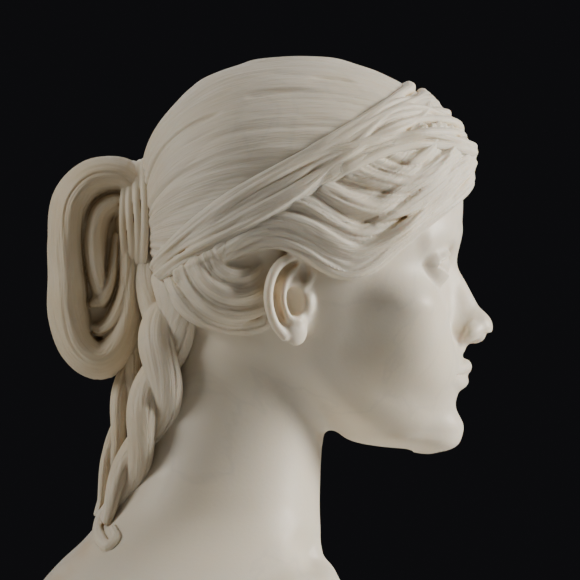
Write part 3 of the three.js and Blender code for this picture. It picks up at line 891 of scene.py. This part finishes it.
def carving(field, name):
    """One closed mesh of the field and its mirror image, which turns with the figure.

    Its flow attribute holds the millimetres across and along the strands, and how deep they are. Its wear
    attribute holds the depth in hollows, painted as brown shade, the stain, and how yellow the old wax has
    gone."""
    whole = np.concatenate([field.value[:0:-1], field.value])
    xs, fs, zs = field.lines
    lines = [np.concatenate([-xs[:0:-1], xs]), fs, zs]
    grid = openvdb.FloatGrid(Field.FAR)
    grid.copyFromArray(np.ascontiguousarray(whole))
    points, quads = without_specks(*grid.convertToQuads(0.0))
    x, f, z = (np.interp(points[:, i], np.arange(len(line)), line) for i, line in enumerate(lines))
    spots = np.column_stack([x * METRES, EARS_Y - f * METRES, CHIN_Z + z * METRES])
    obj = mesh_from(name, spots, quads[:, ::-1])
    mesh = obj.data
    normals = np.empty(len(spots) * 3, np.float32)
    mesh.vertices.foreach_get("normal", normals)
    normals = normals.reshape(-1, 3) * (1, -1, 1)
    mirrored = normals * np.column_stack([np.sign(x) + (x == 0), np.ones((len(x), 2))])
    steps = (np.abs(points[:, 0] - (len(xs) - 1)), points[:, 1], points[:, 2])
    flow = np.column_stack([sample(channel, *steps) for channel in field.flow])
    yellowed = ease(-70, -110, f) * ease(-40, 0, z)
    # The first wear channel is the occlusion in hollows, which the marble paints as brown shade.
    wear = np.column_stack([depth_in_hollow(field, np.abs(x), f, z, mirrored), stain_at(x, f, z), yellowed])
    for label, values in (("flow", flow), ("wear", wear)):
        data = mesh.attributes.new(label, "FLOAT_VECTOR", "POINT").data
        data.foreach_set("vector", values.astype(np.float32).ravel())
    mesh.materials.append(MARBLE)
    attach(obj, "figure")
    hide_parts("bust")


# ---- Materials --------------------


class Surface:
    """A material whose nodes are made by short calls, ending in one Principled shader."""

    def __init__(self, name, roughness=0.5, metallic=0.0, **sockets):
        self.material = bpy.data.materials.new(name)
        self.material.use_nodes = True
        self.nodes = self.material.node_tree.nodes
        self.links = self.material.node_tree.links
        self.shader = self.nodes["Principled BSDF"]
        self.shader.inputs["Roughness"].default_value = roughness
        self.shader.inputs["Metallic"].default_value = metallic
        for socket, value in sockets.items():
            self.shader.inputs[socket.replace("_", " ")].default_value = value
        self.place = self.nodes.new("ShaderNodeTexCoord").outputs["Object"]

    def set(self, node, socket, value):
        """Links a node's output to a socket, or sets the socket to a value."""
        if hasattr(value, "is_output"):
            self.links.new(value, node.inputs[socket])
        else:
            node.inputs[socket].default_value = value

    def stretched(self, scale):
        """The row's coordinates, in metres, times scale along each axis."""
        node = self.nodes.new("ShaderNodeMapping")
        self.set(node, "Vector", self.place)
        self.set(node, "Scale", scale)
        return node.outputs[0]

    def noise(self, scale, detail=3.0, vector=None, distortion=0.0):
        node = self.nodes.new("ShaderNodeTexNoise")
        self.set(node, "Vector", self.place if vector is None else vector)
        self.set(node, "Scale", scale)
        self.set(node, "Detail", detail)
        self.set(node, "Distortion", distortion)
        return node.outputs["Fac"]

    def attribute(self, name):
        """The three channels of a vertex attribute."""
        node = self.nodes.new("ShaderNodeAttribute")
        node.attribute_name = name
        split = self.nodes.new("ShaderNodeSeparateXYZ")
        self.set(split, "Vector", node.outputs["Vector"])
        return split.outputs

    def joined(self, x, y, z=0.0):
        node = self.nodes.new("ShaderNodeCombineXYZ")
        for socket, value in zip("XYZ", (x, y, z)):
            self.set(node, socket, value)
        return node.outputs[0]

    def math(self, operation, a, b=0.0):
        node = self.nodes.new("ShaderNodeMath")
        node.operation = operation
        self.set(node, 0, a)
        self.set(node, 1, b)
        return node.outputs[0]

    def near_middle(self, value):
        """How far a noise is from its middle value, which is nought along thin winding lines."""
        return self.math("ABSOLUTE", self.math("SUBTRACT", value, 0.5))

    def ramp(self, value, low, high, start=0.0, end=1.0):
        """Smoothly from start to end as value goes from low to high."""
        node = self.nodes.new("ShaderNodeMapRange")
        node.interpolation_type = "SMOOTHSTEP"
        sockets = ("Value", "From Min", "From Max", "To Min", "To Max")
        for socket, number in zip(sockets, (value, low, high, start, end)):
            self.set(node, socket, number)
        return node.outputs[0]

    def mix(self, share, a, b):
        """A colour between a and b."""
        node = self.nodes.new("ShaderNodeMix")
        node.data_type = "RGBA"
        self.set(node, 0, share)
        self.set(node, 6, a if hasattr(a, "is_output") else (*a, 1))
        self.set(node, 7, b if hasattr(b, "is_output") else (*b, 1))
        return node.outputs[2]

    def bump(self, height, depth, after=None):
        """Relief of depth metres."""
        node = self.nodes.new("ShaderNodeBump")
        self.set(node, "Height", height)
        self.set(node, "Distance", depth)
        if after is not None:
            self.set(node, "Normal", after)
        return node.outputs[0]

    def finish(self, colour, roughness=None, normal=None):
        self.set(self.shader, "Base Color", colour)
        if roughness is not None:
            self.set(self.shader, "Roughness", roughness)
        if normal is not None:
            self.set(self.shader, "Normal", normal)
        return self.material


IVORY = (0.82, 0.745, 0.62)
COOL_WHITE = (0.80, 0.745, 0.655)
HONEY = (0.70, 0.585, 0.41)
# the colour of the painted shade in deep hollows
HOLLOW_SHADE_BROWN = (0.36, 0.24, 0.10)
IRON_STAIN = (0.62, 0.40, 0.20)
VEIN_GREY = (0.55, 0.53, 0.50)


def statuary_marble():
    """Warm white marble: satin skin, matter hair with fine combed lines, painted shade in their grooves, and
    brown painted shade in the hollows.
    """
    s = Surface("statuary_marble", 0.45, Subsurface_Weight=0.35, Subsurface_Scale=0.006)
    s.shader.inputs["Subsurface Radius"].default_value = (1.0, 0.72, 0.48)
    across, along, combed_share = s.attribute("flow")
    combed_share = s.ramp(combed_share, 0.75, 1.0)
    # hollow is the occlusion in hollows, used below for painted shade.
    hollow, stain, yellowed = s.attribute("wear")
    clouds = s.ramp(s.noise(11, 4, distortion=0.6), 0.36, 0.66)
    colour = s.mix(clouds, IVORY, COOL_WHITE)
    vein = s.ramp(s.near_middle(s.noise(7, 5, distortion=1.4)), 0.0, 0.018, 0.16, 0.0)
    colour = s.mix(vein, colour, VEIN_GREY)
    colour = s.mix(s.ramp(s.noise(1600, 2), 0.3, 0.7, 0.0, 0.10), colour, HONEY)
    lines = s.noise(1.0, 2, s.joined(s.math("MULTIPLY", across, 0.85), s.math("MULTIPLY", along, 0.05)))
    # Painted shade: honey in the grooves of the fine combed lines, where their bump is lowest.
    groove_shade = s.math("MULTIPLY", s.ramp(lines, 0.55, 0.3, 0.0, 0.22), combed_share)
    colour = s.mix(groove_shade, colour, HONEY)
    colour = s.mix(s.math("MULTIPLY", yellowed, s.ramp(s.noise(35, 3), 0.3, 0.7, 0.35, 0.75)), colour, HONEY)
    # Painted shade: honey, then dark brown, the deeper the hollow.
    hollow_shade = s.math("ADD", hollow, s.ramp(s.noise(60, 4), 0.3, 0.7, -0.10, 0.10))
    colour = s.mix(s.ramp(hollow_shade, 0.18, 0.62, 0.0, 0.55), colour, HONEY)
    colour = s.mix(s.ramp(hollow_shade, 0.60, 1.0, 0.0, 0.75), colour, HOLLOW_SHADE_BROWN)
    colour = s.mix(s.math("MULTIPLY", stain, 0.45), colour, IRON_STAIN)
    polish = s.ramp(s.noise(90, 3), 0.3, 0.7, 0.40, 0.50)
    roughness = s.math("ADD", polish, s.math("MULTIPLY", combed_share, 0.14))
    normal = s.bump(s.math("MULTIPLY", lines, combed_share), 0.0006)
    normal = s.bump(s.noise(420, 3), 0.00006, normal)
    return s.finish(colour, roughness, normal)


def socle_marble():
    """Polished white marble with grey clouds and thin veins."""
    s = Surface("socle_marble", 0.3, Subsurface_Weight=0.15, Subsurface_Scale=0.004)
    clouds = s.ramp(s.noise(9, 5, s.stretched((1.0, 1.0, 0.55)), distortion=1.2), 0.38, 0.68)
    colour = s.mix(clouds, (0.79, 0.765, 0.71), (0.66, 0.645, 0.62))
    wander = s.noise(6, 6, s.stretched((1.0, 1.3, 0.7)), distortion=2.2)
    vein = s.ramp(s.near_middle(wander), 0.0, 0.022, 0.75, 0.0)
    patchy = s.ramp(s.noise(13, 2), 0.42, 0.6)
    colour = s.mix(s.math("MULTIPLY", vein, patchy), colour, (0.36, 0.355, 0.35))
    colour = s.mix(s.ramp(s.noise(900, 2), 0.3, 0.75, 0.0, 0.12), colour, HONEY)
    roughness = s.ramp(s.noise(70, 4), 0.3, 0.7, 0.22, 0.38)
    return s.finish(colour, roughness, s.bump(s.noise(300, 3), 0.00005))


def baize():
    """Green wool felt."""
    s = Surface("baize", 0.95, Sheen_Weight=0.4, Sheen_Roughness=0.5)
    fibres = s.noise(2600, 4)
    colour = s.mix(s.ramp(fibres, 0.3, 0.7), (0.035, 0.085, 0.05), (0.075, 0.155, 0.095))
    colour = s.mix(s.ramp(s.noise(35, 3), 0.35, 0.7, 0.0, 0.4), colour, (0.09, 0.11, 0.07))
    return s.finish(colour, None, s.bump(fibres, 0.0004))


def metal(name, bright, dull, roughness, tarnish=0.5):
    """A turned metal with fine rings of tool marks and patches of tarnish."""
    s = Surface(name, roughness, metallic=1.0)
    rings = s.noise(160, 3, s.stretched((1, 1, 14)))
    patches = s.ramp(s.noise(45, 5), 0.4, 0.65, 0.0, tarnish)
    colour = s.mix(patches, bright, dull)
    wear = s.math("ADD", rings, s.math("MULTIPLY", patches, 0.5))
    gloss = s.ramp(wear, 0.3, 1.0, roughness * 0.75, roughness * 1.4)
    return s.finish(colour, gloss, s.bump(rings, 0.00008))


def plaster():
    """Set plaster with fine pits."""
    s = Surface("plaster", 0.9)
    colour = s.mix(s.ramp(s.noise(50, 4), 0.35, 0.7), (0.82, 0.80, 0.75), (0.70, 0.67, 0.60))
    return s.finish(colour, None, s.bump(s.noise(700, 4), 0.0003))


def floor_paint():
    """Pale grey paint, a little uneven."""
    s = Surface("floor", 0.8)
    return s.finish(s.mix(s.noise(4, 2), (0.52, 0.52, 0.51), (0.47, 0.47, 0.465)))


MARBLE = statuary_marble()
SOCLE_MARBLE = socle_marble()
FINISHES = {
    "plinth": SOCLE_MARBLE,
    "baize_pad": baize(),
    "bush_bedding": plaster(),
    "lead_sleeve": metal("lead", (0.30, 0.31, 0.33), (0.20, 0.20, 0.20), 0.6, 0.8),
    "bearing_washer": metal("bronze", (0.52, 0.33, 0.16), (0.24, 0.15, 0.08), 0.4),
    "socle_bush": metal("brass", (0.72, 0.53, 0.24), (0.35, 0.25, 0.12), 0.35),
}
STEEL = metal("steel", (0.56, 0.56, 0.57), (0.30, 0.25, 0.21), 0.4, 0.4)
for name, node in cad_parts.items():
    node.data.materials.clear()
    node.data.materials.append(FINISHES.get(name, STEEL))


# ---- Turned pieces --------------------


def arc(centre, radius, start, end, steps=8):
    """Points on part of a circle, from start to end in degrees."""
    for n in range(steps + 1):
        c, s = cos_sin(start + (end - start) * n / steps)
        yield centre[0] + radius * c, centre[1] + radius * s


SIDES = 192  # flat strips round a turned piece


def turned(name, outline, around, material):
    """A ring turned about the pivot from a closed outline of (radius, height) points in millimetres."""
    angles = 2 * np.pi * np.arange(SIDES) / SIDES
    outline = np.array(outline)
    radius, height = outline[:, 0] * METRES, outline[:, 1] * METRES
    x = np.outer(np.cos(angles), radius) + around.x
    y = np.outer(np.sin(angles), radius) + around.y
    z = np.broadcast_to(height + around.z, x.shape)
    spots = np.stack([x, y, z], axis=-1).reshape(-1, 3)
    count = len(outline)
    i, j = np.meshgrid(np.arange(SIDES), np.arange(count), indexing="ij")
    k, l = (i + 1) % SIDES, (j + 1) % count
    quads = np.stack([i * count + j, k * count + j, k * count + l, i * count + l], axis=-1)
    obj = mesh_from(name, spots, quads.reshape(-1, 4))
    obj.data.materials.append(material)
    obj.data.set_sharp_from_angle(angle=math.radians(32))
    return obj


def bowed(start, end, bulge, bottom, top, steps=24):
    """(radius, height) points from start to end, bulging out between them or in if bulge is negative."""
    points = []
    for n in range(steps + 1):
        t = n / steps
        radius = start + (end - start) * t + bulge * math.sin(math.pi * t)
        points.append((radius, bottom + (top - bottom) * t))
    return points


def bust_foot():
    """The round foot carved under the chest: a band, a fillet and a hollow neck."""
    rim = 0.2 * FOOT_HEIGHT
    edge = 1.2
    fillet = 1.5
    neck = FOOT_RADIUS - 4
    outline = [(BORE_RADIUS, 0), *arc((FOOT_RADIUS - edge, edge), edge, -90, 0)]
    outline += arc((FOOT_RADIUS - edge, rim - edge), edge, 0, 90)
    outline += [(neck, rim), (neck, rim + fillet)]
    hollow = bowed(neck, neck + 6, -0.22 * FOOT_HEIGHT, rim + fillet, FOOT_HEIGHT)
    outline += hollow[1:]
    outline.append((BORE_RADIUS, FOOT_HEIGHT))
    base = Vector((0, 0, CHIN_Z - FOOT_DROP * METRES))
    piece = turned("bust_foot", outline, base, MARBLE)
    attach(piece, "figure")
    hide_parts("bust")


def socle():
    """A torus, a fillet, a deep scotia, a fillet and a rounded cap, bored and seated for the bush."""
    low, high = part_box("socle")
    flange_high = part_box("socle_bush")[1]
    bedding_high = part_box("bush_bedding")[1]
    gap = 0.3
    radius = high.x / METRES
    height = (high.z - low.z) / METRES
    bore = bedding_high.x / METRES + gap
    seat = max(flange_high.x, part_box("bearing_washer")[1].x) / METRES + gap
    seat_depth = (high.z - bedding_high.z) / METRES
    torus, fillet = 0.2 * height, 0.05 * height
    cap = 0.16 * height
    cap_radius = 84.0
    waist = 58.0
    roll, step, quirk = 3.0, 7.0, 3.0
    low_fillet = radius - roll - step
    high_fillet = cap_radius - roll - step / 2
    start, end = low_fillet - quirk, high_fillet - quirk
    bottom, top = torus + fillet, height - cap - fillet
    outline = [(bore, 0), *bowed(radius - roll, radius - roll, roll, 0, torus)]
    outline += [(low_fillet, torus), (low_fillet, bottom)]
    outline += bowed(start, end, waist - (start + end) / 2, bottom, top, steps=48)
    outline += [(high_fillet, top), (high_fillet, height - cap)]
    outline += bowed(cap_radius - roll, cap_radius - roll, roll, height - cap, height - roll / 2)
    outline += [(cap_radius - 2 * roll, height), (seat, height)]
    outline += [(seat, height - seat_depth), (bore, height - seat_depth)]
    piece = turned("turned_socle", outline, Vector((0, 0, low.z)), SOCLE_MARBLE)
    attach(piece, "base")
    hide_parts("socle")


# ---- The pieces --------------------

SCALE = 1.0
FINE, COARSE = 0.8 * SCALE, 1.8 * SCALE  # grid steps on the head and below it


def bust():
    """The whole figure apart from its headband, knot and nape locks, which lie on it."""
    figure = Field(
        graded(0, 0, 98, 200, FINE, COARSE),
        graded(-182, -110, 122, 122, FINE, COARSE),
        graded(-240, -82, 243, 243, FINE, COARSE),
    )
    body(figure)
    head(figure)
    nose(figure)
    mouth(figure)
    eye(figure)
    hair_cap(figure)
    roll(figure)
    waves(figure)
    figure.emboss((0, -102, 100), (90, 110, 241), dome_relief)
    figure.emboss((0, -60, 100), (90, 110, 200), wave_relief)
    figure.emboss((0, -90, 60), (90, -10, 130), roll_relief)
    ear(figure)
    chest_cut(figure)
    carving(figure, "bust_figure")
    return figure


def small_field(low, high, step):
    """A field with the same step all over."""
    return Field(*[np.arange(a, b, step * SCALE, dtype=np.float32) for a, b in zip(low, high)])


figure = bust()
band = small_field((0, -104, 84), (96, 114, 232), 0.65)
headband(band, figure)
carving(band, "headband")
hair_knot = small_field((0, -158, 34), (38, -84, 182), 0.6)
knot(hair_knot)
tie(hair_knot)
carving(hair_knot, "hair_knot")
locks = small_field((0, -134, -62), (62, -46, 124), 0.6)
nape_locks(locks, figure)
carving(locks, "nape_locks")
bust_foot()
socle()

# ---- Stage --------------------

VIEW_WIDTH = 348.0  # millimetres of the figure across the picture
DISTANCE = 2.4  # metres from the camera to the middle plane
WARM = (1.0, 0.955, 0.87)
WHITE = (1.0, 1.0, 1.0)


def aim(obj, spot, target):
    """Puts a camera or lamp at a spot and turns it to its target."""
    obj.location = spot
    obj.rotation_mode = "QUATERNION"
    obj.rotation_quaternion = (target - spot).to_track_quat("-Z", "Y")


def camera():
    """The photo's view, level and square to the figure's right side."""
    data = bpy.data.cameras.new("camera")
    data.lens = data.sensor_width * DISTANCE / (VIEW_WIDTH * METRES)
    cam = new_object("camera", data)
    target = place(0, -6, 96)
    aim(cam, target + Vector((-DISTANCE, 0, 0)), target)
    bpy.context.scene.camera = cam


def lamp(name, offset, size, watts, colour=WARM):
    """A soft rectangular lamp at an offset from the middle of the head."""
    data = bpy.data.lights.new(name, "AREA")
    data.shape = "RECTANGLE"
    data.size, data.size_y = size
    data.energy = watts
    data.color = colour
    target = place(0, 0, 100)
    aim(new_object(name, data), target + Vector(offset), target)


def dark_world():
    """The photo's almost black surroundings."""
    world = bpy.data.worlds.new("world")
    world.use_nodes = True
    world.node_tree.nodes["Background"].inputs["Color"].default_value = (0.006, 0.006, 0.007, 1)
    bpy.context.scene.world = world


def floor():
    """A round floor for the bust to stand on."""
    bpy.ops.mesh.primitive_circle_add(vertices=96, radius=1.6, fill_type="NGON", location=(0, 0, 0))
    disc = bpy.context.object
    disc.name = "floor"
    disc.data.materials.append(floor_paint())


camera()
lamp("key", (-0.18, -1.9, 0.5), (0.5, 0.8), 60)
lamp("back", (-0.45, 1.7, 0.75), (0.8, 0.8), 17)
lamp("top", (-0.2, 0.2, 1.9), (1.2, 1.2), 6)
lamp("far", (1.6, 0.2, 0.9), (1.0, 1.0), 5, WHITE)
dark_world()
floor()
